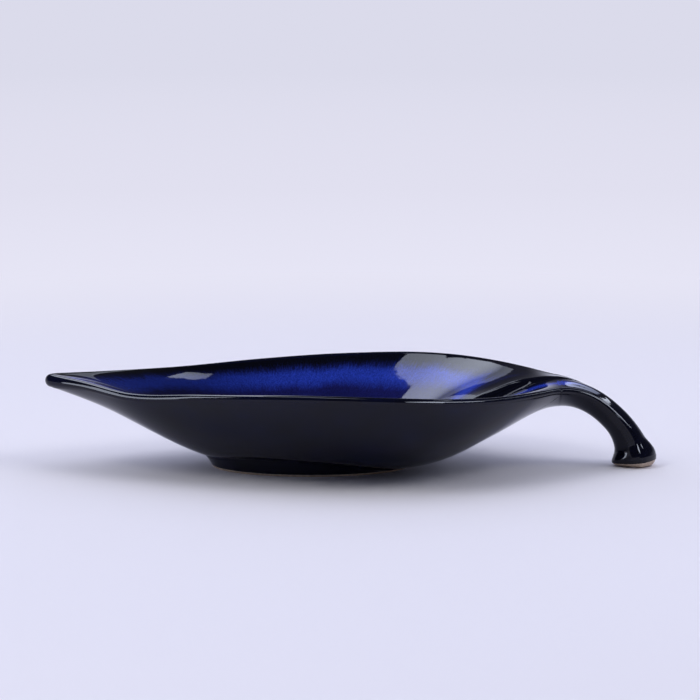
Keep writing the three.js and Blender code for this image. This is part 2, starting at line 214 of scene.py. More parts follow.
near_rim = line_through(NEAR_RIM)
far_rim = line_through(FAR_RIM)
well_floor = line_through(WELL_FLOOR)
keel = line_through(KEEL)
well_power = line_through(WELL_POWER)
level_edge = line_through(LEVEL_EDGE)
outside_power = line_through(OUTSIDE_POWER)
fold_rise = line_through(FOLD_RISE)
fold_at = line_through(FOLD_AT)

joint_at = NECK_AT + JOINT_PAST_NECK
stem_start = joint_at + SLIP_THICKNESS
stem_foot_at = stem_start + STEM_REACH


def bezier(share):
    """Places, as X and Z, along the stem's centre line, and the directions there."""
    ends = np.array([
        (stem_start, STEM_HEIGHT), (stem_start + STEM_ROOT_PULL, STEM_HEIGHT),
        (stem_foot_at, STEM_FOOT_PULL), (stem_foot_at, 0),
    ])
    t = np.asarray(share, float)[..., None]
    weights = [(1 - t)**3, 3 * t * (1 - t)**2, 3 * t**2 * (1 - t), t**3]
    place = sum(weight * end for weight, end in zip(weights, ends))
    steps = np.diff(ends, axis=0)
    slopes = [(1 - t)**2, 2 * t * (1 - t), t**2]
    forward = sum(slope * step for slope, step in zip(slopes, steps))
    return place, unit(forward)


def running_length(points):
    """Length along a line of points, from its first point to each one."""
    steps = np.linalg.norm(np.diff(points, axis=0), axis=-1)
    return np.concatenate([[0], np.cumsum(steps)])


fine_shares = np.linspace(0, 1, LENGTH_STEPS + 1)
stem_lengths = running_length(bezier(fine_shares)[0])
stem_length = stem_lengths[-1]
stem_end = joint_at + stem_length


def smooth_step(share):
    share = np.clip(share, 0, 1)
    return share * share * (3 - 2 * share)


def swelling(at, flare, toe):
    """Growth of the stem towards the table: a long flare, and a toe just above the rounded end."""
    left = stem_end - at
    flare_share = np.maximum(0, 1 - left / FLARE_RUN)**FLARE_POWER
    toe_share = smooth_step((TOE_RUN - left) / (TOE_RUN - STEM_EDGE_ROUND))
    return flare * flare_share + toe * toe_share


def half_width(at):
    at = np.maximum(np.asarray(at, float), 0)
    widest, neck, stem = LEAF_WIDTH / 2, NECK_WIDTH / 2, STEM_WIDTH / 2
    full_reach = math.sqrt(WIDEST_AT**2 + 2 * TIP_ROUNDING * WIDEST_AT)
    reach = np.sqrt(at**2 + 2 * TIP_ROUNDING * at)
    blade = widest * np.sin(math.pi / 2 * reach / full_reach)
    shoulder = mix(widest, neck, ((at - WIDEST_AT) / (NECK_AT - WIDEST_AT))**2)
    neck_slope = 2 * (widest - neck) / (NECK_AT - WIDEST_AT)
    run = 3 * (neck - stem) / neck_slope
    tail = mix(stem, neck, (1 - np.clip((at - NECK_AT) / run, 0, 1))**3)
    tail = tail + swelling(at, FLARE_WIDE, TOE_WIDE)
    return np.where(at < WIDEST_AT, blade, np.where(at < NECK_AT, shoulder, tail))


def half_width_slope(at):
    back = np.maximum(at - SLOPE_STEP, 0)
    ahead = at + SLOPE_STEP
    return (half_width(ahead) - half_width(back)) / (ahead - back)


def rim_radius(at):
    tip_share = np.maximum(0, 1 - at / TIP_RADIUS_RUN)**2
    stem_share = np.clip((at - joint_at) / STEM_RIM_RUN, 0, 1)
    return mix(mix(RIM_RADIUS, TIP_RADIUS, tip_share), STEM_RIM_RADIUS, stem_share)


def floor_height(at):
    return well_floor(at) + swelling(at, FLARE_OUT, TOE_OUT)


def keel_height(at):
    return keel(at) - swelling(at, FLARE_IN, TOE_IN)


def rim_at(at, side):
    """Radius, centre height, skew and the two edge angles and heights of the rolled rim."""
    radius = rim_radius(at)
    centre = (near_rim(at) if side < 0 else far_rim(at)) - radius
    skew = np.minimum(np.hypot(1, half_width_slope(at)), RIM_SKEW_LIMIT)
    span = np.maximum(half_width(at), TIP_RADIUS) / skew
    top_rise = (centre + radius - floor_height(at)) * (1 - level_edge(at)) * well_power(at)
    under_rise = (centre - radius - keel_height(at)) * outside_power(at)
    top_angle = np.arctan(top_rise / span)
    under_angle = np.arctan(under_rise / span)
    return {
        "radius": radius, "centre": centre, "skew": skew,
        "top_angle": top_angle, "under_angle": under_angle,
        "top_edge": centre + radius / np.cos(top_angle),
        "under_edge": centre - radius / np.cos(under_angle),
    }


def rim_arc(rim):
    """Reach outwards and height of the rim's points, from the top face over to the underside."""
    share = np.linspace(0, 1, LIP_STEPS + 1)
    start = np.asarray(math.pi / 2 + rim["top_angle"])[..., None]
    end = np.asarray(rim["under_angle"] - math.pi / 2)[..., None]
    angle = mix(start, end, share)
    radius = np.asarray(rim["radius"])[..., None]
    return radius * np.cos(angle), np.asarray(rim["centre"])[..., None] + radius * np.sin(angle)


def top_height(at, across):
    near, far = rim_at(at, -1)["top_edge"], rim_at(at, 1)["top_edge"]
    hollow = 1 - np.abs(across)**well_power(at)
    level_hollow = (1 - np.minimum(across**2, 1))**2
    depth = (near + far) / 2 - floor_height(at)
    past_fold = (across * half_width(at) - fold_at(at)) / FOLD_WIDTH
    fold = np.maximum(fold_rise(at), 0) * smooth_step(0.5 + past_fold) * level_hollow
    return mix(near, far, (1 + across) / 2) - depth * mix(hollow, level_hollow, level_edge(at)) + fold


def under_height(at, across):
    near, far = rim_at(at, -1)["under_edge"], rim_at(at, 1)["under_edge"]
    depth = (near + far) / 2 - keel_height(at)
    return mix(near, far, (1 + across) / 2) - depth * (1 - np.abs(across)**outside_power(at))


def cross_section(at):
    """Closed outline across the leaf or stem, as Y and Z: top face, far rim, underside, near rim."""
    half = half_width(at)
    near, far = [], []
    for side, points in ((-1, near), (1, far)):
        rim = rim_at(at, side)
        out, height = rim_arc(rim)
        points.extend(zip(side * (half + rim["skew"] * out), height))
    share = np.arange(1, NECK_STEPS) / NECK_STEPS
    top = mix(near[0][0], far[0][0], share)
    under = mix(far[-1][0], near[-1][0], share)
    loop = [near[0], *zip(top, top_height(at, top / half)), *far]
    loop += [*zip(under, under_height(at, under / half)), *near[:0:-1]]
    return np.array(loop, float)


def side_places():
    """Places along one side of the leaf, crowded towards the tip and the neck."""
    at = fine_shares * joint_at
    lengths = running_length(np.stack([at, half_width(at)], axis=-1))
    share = np.arange(1, SIDE_STEPS) / SIDE_STEPS
    crowded = share - STEP_CROWDING * np.sin(2 * math.pi * share) / (2 * math.pi)
    return np.interp(crowded * lengths[-1], lengths, at)


def rim_columns(at, side):
    """The rim's points at places on one side of the leaf, facing straight out from the outline."""
    outward = np.stack([-half_width_slope(at), np.full(at.shape, float(side))], axis=-1)
    outward[at == 0] = (-1, 0)
    outward = unit(outward)
    out, height = rim_arc(rim_at(at, side))
    x = at[:, None] + outward[:, :1] * out
    y = side * half_width(at)[:, None] + outward[:, 1:] * out
    return np.stack([x, y, height], axis=-1)


def all_columns():
    """The rim's points all the way round: tip, near side, joint face, far side."""
    section = cross_section(joint_at)
    loop = np.column_stack([np.full(len(section), joint_at), section])
    top = loop[:NECK_STEPS + 1]
    far = loop[NECK_STEPS:NECK_STEPS + LIP_STEPS + 1]
    under = loop[NECK_STEPS + LIP_STEPS:2 * NECK_STEPS + LIP_STEPS + 1][::-1]
    near = np.vstack([loop[:1], loop[2 * NECK_STEPS + LIP_STEPS:][::-1]])
    share = np.linspace(0, 1, LIP_STEPS + 1)[:, None]
    face = [mix(top[k], under[k], share) for k in range(1, NECK_STEPS)]
    places = side_places()
    tip = rim_columns(np.zeros(1), -1)
    near_side = rim_columns(places, -1)
    far_side = rim_columns(places[::-1], 1)
    columns = np.concatenate([tip, near_side, near[None], face, far[None], far_side])
    near_joint = 1 + len(places)
    return columns, loop, near_joint, near_joint + NECK_STEPS


columns, joint_loop, near_joint, far_joint = all_columns()
centre = np.array([RING_AT, 0.0])


def share_across(x, y):
    return y / np.maximum(half_width(x), TIP_RADIUS)


def on_top(place):
    x, y = place[:, 0], place[:, 1]
    return np.column_stack([x, y, top_height(x, share_across(x, y))])


def on_under(place):
    x, y = place[:, 0], place[:, 1]
    return np.column_stack([x, y, under_height(x, share_across(x, y))])


def oval_row(inset, height):
    """A row of points on an oval inside or outside the foot ring's outline, one for each column."""
    toward = columns[:, -1, :2] - centre
    angle = np.arctan2(toward[:, 1], toward[:, 0])
    half_length, half_depth = RING_LENGTH / 2 - inset, RING_DEPTH / 2 - inset
    reach = 1 / np.hypot(np.cos(angle) / half_length, np.sin(angle) / half_depth)
    x, y = centre[0] + reach * np.cos(angle), centre[1] + reach * np.sin(angle)
    return np.column_stack([x, y, np.full(len(angle), float(height))])


def lowered(row):
    return row - (0, 0, SLIP_THICKNESS)


# Rows of points round the leaf, from the middle of the well over the rim to the middle underneath
well_shares = 1 - (1 - np.arange(1, WELL_STEPS) / WELL_STEPS)**WELL_CROWDING
outside_shares = (np.arange(1, OUTSIDE_STEPS) / OUTSIDE_STEPS)**OUTSIDE_CROWDING
well_rows = [on_top(mix(centre, columns[:, 0, :2], share)) for share in well_shares]
lip_rows = [columns[:, i] for i in range(LIP_STEPS + 1)]
seat_row = on_under(oval_row(-RING_LEAN, 0))
outside_rows = [on_under(mix(columns[:, -1, :2], seat_row[:, :2], share)) for share in outside_shares]
ring_inset = RING_CONTACT_WIDTH + 2 * RING_EDGE_ROUND
recess_row = oval_row(ring_inset + RING_INNER_LEAN, RECESS_HEIGHT)
recess_middle = np.array([[*centre, RECESS_HEIGHT]])
recess_rows = [mix(recess_row, recess_middle, i / RECESS_STEPS) for i in range(1, RECESS_STEPS)]
ring_low_row = oval_row(0, RING_EDGE_ROUND)


def ring_wall_row(share):
    """A row on the ring's outer wall, which leans in most near its top."""
    top = lowered(seat_row)
    lean = share + 4 * (RING_WALL_BEND - 0.5) * share * (1 - share)
    row = mix(top, ring_low_row, lean)
    row[:, 2] = mix(top[:, 2], ring_low_row[:, 2], share)
    return row


def ring_edge_rows(start_inset, inward):
    """Rows round one bottom edge of the ring, from its wall at the start towards the table."""
    rows = []
    for i in range(1, EDGE_STEPS + 1):
        angle = math.pi / 2 * i / EDGE_STEPS
        inset = start_inset + inward * RING_EDGE_ROUND * (1 - math.cos(angle))
        rows.append(oval_row(inset, RING_EDGE_ROUND * (1 - math.sin(angle))))
    return rows


ring_wall_rows = [ring_wall_row(i / RING_WALL_STEPS) for i in range(RING_WALL_STEPS + 1)]
inner_low_row = oval_row(ring_inset, RING_EDGE_ROUND)
inner_wall_rows = [
    mix(inner_low_row, lowered(recess_row), i / RECESS_STEPS) for i in range(1, RECESS_STEPS + 1)
]
ring_rows = [
    *ring_wall_rows,
    *ring_edge_rows(0, 1),
    *ring_edge_rows(ring_inset, -1)[::-1],
    inner_low_row,
    *inner_wall_rows,
]
well_middle = on_top(centre[None])


def numbered(rows):
    """The points of all rows, and their numbers as a grid, where a row of one point closes an end."""
    width = max(len(row) for row in rows)
    first = np.cumsum([0] + [len(row) for row in rows[:-1]])
    grid = [np.full(width, f) if len(row) == 1 else f + np.arange(width) for f, row in zip(first, rows)]
    return np.vstack(rows), np.array(grid)


def grid_faces(grid, keep=None):
    """Four-sided faces between neighbouring rows, or three-sided ones at a closed end."""
    following = np.roll(grid, -1, axis=1)
    corners = np.stack([grid[:-1], grid[1:], following[1:], following[:-1]], axis=-1)
    chosen = corners.reshape(-1, 4) if keep is None else corners[keep]
    return [tuple(dict.fromkeys(face.tolist())) for face in chosen]


def surface_normals(points, faces):
    normals = np.zeros_like(points)
    for face in faces:
        a, c, d = points[face[0]], points[face[1]], points[face[2]]
        b = points[face[-1]]
        normal = np.cross(d - a, b - c) if len(face) == 4 else np.cross(c - a, d - a)
        normals[list(face)] += normal
    return unit(normals)


def top_over(x, y):
    return top_height(x, share_across(x, y))


def under_over(x, y):
    return under_height(x, share_across(x, y))


def slope_normals(height, points, facing):
    """Normals of a height over the table, facing up for 1 and down for -1."""
    x, y = points[:, 0], points[:, 1]
    along = (height(x + SLOPE_STEP, y) - height(x - SLOPE_STEP, y)) / (2 * SLOPE_STEP)
    across = (height(x, y + SLOPE_STEP) - height(x, y - SLOPE_STEP)) / (2 * SLOPE_STEP)
    return unit(facing * np.column_stack([-along, -across, np.ones(len(x))]))


shift = np.array([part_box("leaf_shell")[1].x / MM - joint_at, 0, 0])


def new_piece(name, points, faces, material, cad_node, corner_normals=None, attributes=None):
    """A mesh piece in the frame, in metres, that stands for one CAD node."""
    mesh = bpy.data.meshes.new(name)
    mesh.from_pydata((points + shift) * MM, [], faces)
    mesh.shade_smooth()
    for key, values in (attributes or {}).items():
        layer = mesh.attributes.new(key, "FLOAT", "POINT")
        layer.data.foreach_set("value", np.asarray(values, np.float32))
    if corner_normals is not None:
        mesh.normals_split_custom_set(corner_normals)
    mesh.materials.append(material)
    piece = bpy.data.objects.new(name, mesh)
    bpy.context.scene.collection.objects.link(piece)
    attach(piece, "root")
    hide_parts(cad_node)
    return piece


def solid(name, rows, material, cad_node):
    points, grid = numbered(rows)
    looped = grid if len(rows[0]) == 1 else np.vstack([grid, grid[:1]])
    return new_piece(name, points, grid_faces(looped), material, cad_node)


def coat(name, rows, keep, normals, flat, material, cad_node, attributes):
    """A coat of even thickness on the kept faces of a clay surface, closed by walls round its edge."""
    points, grid = numbered(rows)
    away = normals.copy()
    away[flat, 0] = 0
    away = unit(away)
    lift = len(points)
    every = np.vstack([points, points + GLAZE_THICKNESS * away])
    faces = grid_faces(grid, keep)
    outer = [tuple(n + lift for n in face) for face in faces]
    inner = [face[::-1] for face in faces]
    edges = {}
    for face in faces:
        for a, b in zip(face, face[1:] + face[:1]):
            edges[(a, b)] = True
    walls = [(a, b, b + lift, a + lift) for a, b in edges if (b, a) not in edges]
    corner_normals = [normals[n - lift] for face in outer for n in face]
    corner_normals += [-normals[n] for face in inner for n in face]
    for a, b, c, d in walls:
        wall = np.cross(every[b] - every[a], every[d] - every[a])
        corner_normals += [wall / np.linalg.norm(wall)] * 4
    faces = outer + inner + walls
    used = np.unique(np.concatenate([np.array(face) for face in faces]))
    place = np.zeros(len(every), int)
    place[used] = np.arange(len(used))
    faces = [tuple(place[list(face)].tolist()) for face in faces]
    both = {key: np.tile(values, 2)[used] for key, values in attributes.items()}
    return new_piece(name, every[used], faces, material, cad_node, corner_normals, both)


def section_normals(at):
    """Normals of the surface where the leaf passes into the stem, from the sections on either side."""
    before, after = at - SECTION_STEP, at + SECTION_STEP
    back = np.column_stack([np.full(len(joint_loop), before), cross_section(before)])
    ahead = np.column_stack([np.full(len(joint_loop), after), cross_section(after)])
    round_loop = np.roll(joint_loop, -1, axis=0) - np.roll(joint_loop, 1, axis=0)
    return unit(np.cross(ahead - back, round_loop))


# Shader nodes
def new_material(name):
    material = bpy.data.materials.new(name)
    material.use_nodes = True
    tree = material.node_tree
    return material, tree, tree.nodes["Principled BSDF"]


def node(tree, kind, **settings):
    """A new shader node with its settings."""
    made = tree.nodes.new(kind)
    for key, value in settings.items():
        setattr(made, key, value)
    return made


def fill_socket(tree, socket, value):
    """Links a socket to the value's socket, or sets it to the value."""
    if isinstance(value, bpy.types.NodeSocket):
        tree.links.new(value, socket)
    else:
        socket.default_value = value


def attribute(tree, name):
    return node(tree, "ShaderNodeAttribute", attribute_name=name).outputs["Fac"]


def object_place(tree):
    return node(tree, "ShaderNodeTexCoord").outputs["Object"]


def maths(tree, operation, first, second):
    """A sum, product or the like of two sockets or numbers."""
    made = node(tree, "ShaderNodeMath", operation=operation)
    fill_socket(tree, made.inputs[0], first)
    fill_socket(tree, made.inputs[1], second)
    return made.outputs[0]


def vector_of(tree, *parts):
    made = node(tree, "ShaderNodeCombineXYZ")
    for socket, value in zip(made.inputs, parts):
        fill_socket(tree, socket, value)
    return made.outputs[0]


def parts_of(tree, vector):
    made = node(tree, "ShaderNodeSeparateXYZ")
    tree.links.new(vector, made.inputs[0])
    return made.outputs


def noise(tree, vector, scale, detail, roughness=0.5):
    made = node(tree, "ShaderNodeTexNoise")
    made.inputs["Scale"].default_value = scale
    made.inputs["Detail"].default_value = detail
    made.inputs["Roughness"].default_value = roughness
    tree.links.new(vector, made.inputs["Vector"])
    return made.outputs["Fac"]


def mapped(tree, value, start, end, to_start=0, to_end=1, **settings):
    """A value moved from one range to another."""
    made = node(tree, "ShaderNodeMapRange", **settings)
    made.inputs["From Min"].default_value = start
    made.inputs["From Max"].default_value = end
    made.inputs["To Min"].default_value = to_start
    made.inputs["To Max"].default_value = to_end
    tree.links.new(value, made.inputs["Value"])
    return made.outputs["Result"]


def smooth_rise(tree, value, start, end):
    """A smooth rise from nothing at the start to one at the end."""
    return mapped(tree, value, start, end, interpolation_type="SMOOTHSTEP")


def ramp(tree, value, stops):
    """A colour for each value, through stops of value and colour."""
    made = node(tree, "ShaderNodeValToRGB")
    low, high = stops[0][0], stops[-1][0]
    tree.links.new(mapped(tree, value, low, high), made.inputs["Fac"])
    elements = made.color_ramp.elements
    while len(elements) < len(stops):
        elements.new(0.5)
    for element, (place, colour) in zip(elements, stops):
        element.position = (place - low) / (high - low)
        element.color = (*colour, 1)
    return made.outputs["Color"]


def bump(tree, height, distance, strength=1.0):
    made = node(tree, "ShaderNodeBump")
    made.inputs["Strength"].default_value = strength
    made.inputs["Distance"].default_value = distance
    tree.links.new(height, made.inputs["Height"])
    return made.outputs["Normal"]


def scaled(tree, colour, amount):
    """A colour made darker or lighter."""
    made = node(tree, "ShaderNodeVectorMath", operation="SCALE")
    tree.links.new(colour, made.inputs[0])
    tree.links.new(amount, made.inputs["Scale"])
    return made.outputs[0]


# Glaze colours
BLACK = (0.003, 0.0035, 0.011)
INK = (0.003, 0.0042, 0.018)
INDIGO = (0.003, 0.005, 0.026)
NAVY = (0.007, 0.012, 0.095)
COBALT = (0.021, 0.051, 0.48)
DEEP = (0.0095, 0.0115, 0.11)
DEEPEST = (0.007, 0.009, 0.08)

# Colour of the cobalt glaze by its depth below the rim, in millimetres
COBALT_STOPS = [
    (0, BLACK), (1.5, BLACK), (3.2, INK), (5.2, NAVY),
    (8.5, COBALT), (12.5, COBALT), (18.5, DEEP), (26, DEEPEST),
]

# Noises in the cobalt glaze, each with its pace down the wall beside that along the rim, and its layer
STREAK_NOISE = {"scale": 1.1, "detail": 4, "roughness": 0.65}
STREAK_PACE, STREAK_LAYER = 0.25, 0
DRIFT_NOISE = {"scale": 0.06, "detail": 3}
DRIFT_PACE, DRIFT_LAYER = 0.5, 7
MOTTLE_NOISE = {"scale": 1.9, "detail": 3, "roughness": 0.6}
MOTTLE_PACE, MOTTLE_LAYER = 0.6, 3

# How far streaks and drifts move the colours, in millimetres, and how the mottle darkens or lightens them
NOISE_MIDDLE = 0.5
STREAK_REACH = 7
DRIFT_REACH = 6
MOTTLE_FROM = (0.3, 0.7)
MOTTLE_LIGHT = (0.55, 1.45)

# Gloss and waviness of both glazes, and the clouds in the black one
GLAZE_ROUGHNESS = 0.04
GLAZE_SPECULAR = 0.25
RIPPLE_NOISE = {"scale": 260, "detail": 2}
RIPPLE_HEIGHT = 0.00003
RIPPLE_STRENGTH = 0.5
CLOUD_NOISE = {"scale": 60, "detail": 4}
CLOUD_STOPS = [(0.35, BLACK), (0.6, INK), (0.75, INDIGO)]

# Bare clay
CLAY_LIGHT, CLAY_DARK = (0.62, 0.50, 0.40), (0.44, 0.33, 0.25)
SLIP_LIGHT, SLIP_DARK = (0.42, 0.29, 0.18), (0.28, 0.17, 0.10)
GRAIN_NOISE = {"scale": 900, "detail": 5}
GRAIN_HEIGHT = 0.0003
GRAIN_FROM, GRAIN_TO = 0.3, 0.7
CLAY_ROUGHNESS = 0.85


def rim_noise(tree, kind, pace, layer):
    """Noise that follows the rim and runs down from it."""
    depth = maths(tree, "MULTIPLY", attribute(tree, "rim_depth"), pace)
    return noise(tree, vector_of(tree, attribute(tree, "rim_run"), depth, layer), **kind)


def shifted(tree, value, by, reach):
    """A value moved up or down by a noise."""
    swing = maths(tree, "MULTIPLY", maths(tree, "SUBTRACT", by, NOISE_MIDDLE), reach)
    return maths(tree, "ADD", value, swing)


def glossy(tree, shader):
    """The gloss of a glaze, with the slight waviness of one that ran in the kiln."""
    height = noise(tree, object_place(tree), **RIPPLE_NOISE)
    ripple = bump(tree, height, RIPPLE_HEIGHT, RIPPLE_STRENGTH)
    tree.links.new(ripple, shader.inputs["Normal"])
    shader.inputs["Roughness"].default_value = GLAZE_ROUGHNESS
    shader.inputs["Specular IOR Level"].default_value = GLAZE_SPECULAR


def cobalt_glaze():
    """Gloss glaze that breaks from black at the rim into streaked cobalt down the wall."""
    material, tree, shader = new_material("cobalt_glaze_look")
    streaks = rim_noise(tree, STREAK_NOISE, STREAK_PACE, STREAK_LAYER)
    drifts = rim_noise(tree, DRIFT_NOISE, DRIFT_PACE, DRIFT_LAYER)
    mottle = rim_noise(tree, MOTTLE_NOISE, MOTTLE_PACE, MOTTLE_LAYER)
    depth = shifted(tree, attribute(tree, "rim_depth"), streaks, STREAK_REACH)
    depth = shifted(tree, depth, drifts, DRIFT_REACH)
    light = mapped(tree, mottle, *MOTTLE_FROM, *MOTTLE_LIGHT)
    colour = scaled(tree, ramp(tree, depth, COBALT_STOPS), light)
    # The colour is made darker on the far side towards the tip
    tree.links.new(scaled(tree, colour, attribute(tree, "tip_dim_factor")), shader.inputs["Base Color"])
    glossy(tree, shader)
    return material


def black_glaze():
    """Gloss black glaze with faint blue clouds."""
    material, tree, shader = new_material("black_glaze_look")
    clouds = noise(tree, object_place(tree), **CLOUD_NOISE)
    tree.links.new(ramp(tree, clouds, CLOUD_STOPS), shader.inputs["Base Color"])
    glossy(tree, shader)
    return material


def fired_clay(name, light, dark):
    """Bare, matt and grainy clay."""
    material, tree, shader = new_material(name)
    grain = noise(tree, object_place(tree), **GRAIN_NOISE)
    colour = ramp(tree, grain, [(GRAIN_FROM, dark), (GRAIN_TO, light)])
    tree.links.new(colour, shader.inputs["Base Color"])
    tree.links.new(bump(tree, grain, GRAIN_HEIGHT), shader.inputs["Normal"])
    shader.inputs["Roughness"].default_value = CLAY_ROUGHNESS
    return material


cobalt = cobalt_glaze()
black = black_glaze()
clay = fired_clay("clay_look", CLAY_LIGHT, CLAY_DARK)
slip = fired_clay("slip_look", SLIP_LIGHT, SLIP_DARK)

# Clay and slip pieces of the leaf and its ring
shell_rows = [
    well_middle, *well_rows, *lip_rows, *outside_rows, seat_row,
    recess_row, *recess_rows, recess_middle,
]
foot_slip_rows = [seat_row, lowered(seat_row), lowered(recess_row), recess_row]
solid("leaf_body", shell_rows, clay, "leaf_shell")
solid("foot_ring_body", ring_rows, clay, "foot_ring")
solid("foot_slip", foot_slip_rows, slip, "foot_slip_joint")

# The whole surface of the leaf and the ring as one grid, and the parts of it that each coat covers
whole_rows = [
    well_middle, *well_rows, *lip_rows, *outside_rows, seat_row,
    *ring_rows, recess_row, *recess_rows, recess_middle,
]
whole_points, whole_grid = numbered(whole_rows)
rim_row = 1 + len(well_rows)
under_rim_row = rim_row + LIP_STEPS
first_outside_row = under_rim_row + 1
ring_low_row_number = first_outside_row + len(outside_rows) + 1 + RING_WALL_STEPS
inner_low_row_number = ring_low_row_number + 2 * EDGE_STEPS + 1
row_number = np.arange(len(whole_rows) - 1)[:, None]
column_number = np.arange(len(columns))[None, :]
on_face = (column_number >= near_joint) & (column_number < far_joint)
first_coated = np.where(on_face, under_rim_row, rim_row)
in_well = np.broadcast_to(row_number < rim_row, (len(whole_rows) - 1, len(columns)))
outside = (row_number >= first_coated) & (row_number < ring_low_row_number)
in_recess = np.broadcast_to(row_number >= inner_low_row_number, in_well.shape)
joint_face = whole_grid[rim_row:under_rim_row + 1, near_joint:far_joint + 1]
joint_normals = section_normals(joint_at)


def whole_surface_normals():
    """Normals that follow the surface's own slope near the neck, and the stem's at the joint."""
    normals = surface_normals(whole_points, grid_faces(whole_grid))
    well_part = whole_grid[1:rim_row].ravel()
    outside_part = whole_grid[first_outside_row:first_outside_row + len(outside_rows)].ravel()
    for height, facing, part in ((top_over, 1, well_part), (under_over, -1, outside_part)):
        places = whole_points[part]
        share = smooth_step((places[:, :1] - EXACT_FROM) / EXACT_OVER)
        normals[part] = unit(mix(normals[part], slope_normals(height, places, facing), share))
    far_corner = NECK_STEPS + LIP_STEPS
    near_corner = far_corner + NECK_STEPS
    normals[joint_face[0]] = joint_normals[:NECK_STEPS + 1]
    normals[joint_face[-1]] = joint_normals[far_corner:near_corner + 1][::-1]
    normals[joint_face[:, -1]] = joint_normals[NECK_STEPS:far_corner + 1]
    normals[joint_face[:, 0]] = np.vstack([joint_normals[:1], joint_normals[near_corner:][::-1]])
    return normals


def on_near_side(y):
    return smooth_step(-y / TIP_BLUE_ACROSS)


def depth_below_rim():
    """Distance of each point from the rim or the fold, scaled to bring the blue nearer or further."""
    x, y = whole_points[:, 0], whole_points[:, 1]
    fold_places = np.linspace(FOLD_SHOWS_FROM, joint_at, NECK_STEPS)
    fold_line = on_top(np.column_stack([fold_places, fold_at(fold_places)]))
    edge = np.vstack([columns[:near_joint + 1, 0], columns[far_joint:, 0], fold_line])
    depth = np.linalg.norm(whole_points[:, None] - edge[None], axis=-1).min(axis=1)
    toward_neck = smooth_step((x - NECK_DARKENS_FROM) / NECK_DARKENS_OVER)
    past_fold = smooth_step((y - fold_at(x)) / FOLD_WIDTH)
    toward_belly = smooth_step((x - BELLY_BLUE_FROM) / BELLY_BLUE_OVER)
    depth *= 1 - np.maximum(NECK_DARKENS_BY * toward_neck * past_fold, BELLY_BLUE_BY * toward_belly)
    toward_tip = 1 - smooth_step((x - TIP_BLUE_TO) / TIP_BLUE_FADE)
    return depth * (1 + toward_tip * mix(-TIP_BLACK_BY, TIP_BLUE_BY, on_near_side(y)))


def whole_surface_marks():
    """What the glaze needs at each point: length along the rim, depth, and darkening at the tip's far
    side.
    """
    column_runs = running_length(columns[:, LIP_STEPS // 2])
    run = np.zeros(len(whole_points))
    run[whole_grid[1:-1]] = column_runs
    # Colour made darker on the far side towards the tip, and left as it is on the near side
    in_tip = 1 - smooth_step((whole_points[:, 0] - TIP_DIMS_TO) / TIP_DIMS_FADE)
    light = 1 - TIP_DIMS_BY * in_tip * (1 - on_near_side(whole_points[:, 1]))
    return {"rim_run": run, "rim_depth": depth_below_rim(), "tip_dim_factor": light}


# Glaze on the leaf and the ring
whole_normals = whole_surface_normals()
whole_marks = whole_surface_marks()
for name, kept, look, cad_node, slot in (
    ("well_glaze_coat", in_well, cobalt, "well_glaze", "cobalt_glaze"),
    ("outer_glaze_coat", outside, black, "outer_glaze", "black_glaze"),
    ("recess_glaze_coat", in_recess, black, "recess_glaze", "black_glaze"),
):
    coat(name, whole_rows, kept, whole_normals, joint_face.ravel(), look, cad_node, whole_marks)


# Stem
def stem_row(along, inset):
    """The stem's section at a length along it, drawn in by an inset towards its rounded end."""
    share = np.interp(along, stem_lengths, fine_shares)
    place, forward = bezier(share)
    up = np.array([-forward[1], forward[0]])
    section = cross_section(joint_at + along)
    y, rise = section[:, 0], section[:, 1] - STEM_HEIGHT
    out = np.hypot(y, rise)
    shrink = (out - inset) / out
    middle = place + (rise * shrink)[:, None] * up
    return np.column_stack([middle[:, 0], y * shrink, middle[:, 1]])


def middle_of(row):
    return row.mean(axis=0, keepdims=True)


plain_length = stem_length - STEM_EDGE_ROUND
stem_rows = [stem_row(plain_length * i / STEM_STEPS, 0) for i in range(STEM_STEPS + 1)]
bare_row = len(stem_rows) + GLAZED_EDGE_STEPS
for i in range(1, EDGE_STEPS + 1):
    angle = math.pi / 2 * i / EDGE_STEPS
    along = plain_length + STEM_EDGE_ROUND * math.sin(angle)
    stem_rows.append(stem_row(along, STEM_EDGE_ROUND * (1 - math.cos(angle))))

stem_body_rows = [middle_of(stem_rows[0]), *stem_rows, middle_of(stem_rows[-1])]
stem_slip_rows = [middle_of(joint_loop), joint_loop, stem_rows[0], middle_of(stem_rows[0])]
solid("stem_body", stem_body_rows, clay, "stem_handle")
solid("stem_slip", stem_slip_rows, slip, "stem_slip_joint")

stem_coat_rows = [joint_loop, *stem_rows]
stem_points, stem_grid = numbered(stem_coat_rows)
stem_normals = surface_normals(stem_points, grid_faces(stem_grid))
stem_normals[stem_grid[0]] = joint_normals
stem_row_number = np.arange(len(stem_coat_rows) - 1)[:, None]
on_stem = np.broadcast_to(stem_row_number < bare_row, (len(stem_coat_rows) - 1, len(joint_loop)))


def stem_marks():
    """What the glaze material needs on the stem, where the blue of the well fades out along the top."""
    run = np.zeros(len(stem_points))
    depth = np.zeros(len(stem_points))
    for i, row in enumerate(stem_grid):
        along = plain_length * max(i - 1, 0) / STEM_STEPS
        top_row = row[:NECK_STEPS + 1]
        top = stem_points[top_row]
        near_gap = np.linalg.norm(top - top[0], axis=-1)
        far_gap = np.linalg.norm(top - top[-1], axis=-1)
        fold_gap = np.abs(top[:, 1] - fold_at(joint_at + along))
        fade = 1 - smooth_step(along / STEM_BLUE_RUN)
        depth[top_row] = np.minimum(np.minimum(near_gap, far_gap), fold_gap) * fade
        run[row] = along
    return {"rim_run": run, "rim_depth": depth, "tip_dim_factor": np.ones(len(stem_points))}


coat(
    "stem_glaze_coat", stem_coat_rows, on_stem, stem_normals, stem_grid[0],
    cobalt, "stem_glaze", stem_marks(),
)

# From here on all sizes and places are in metres

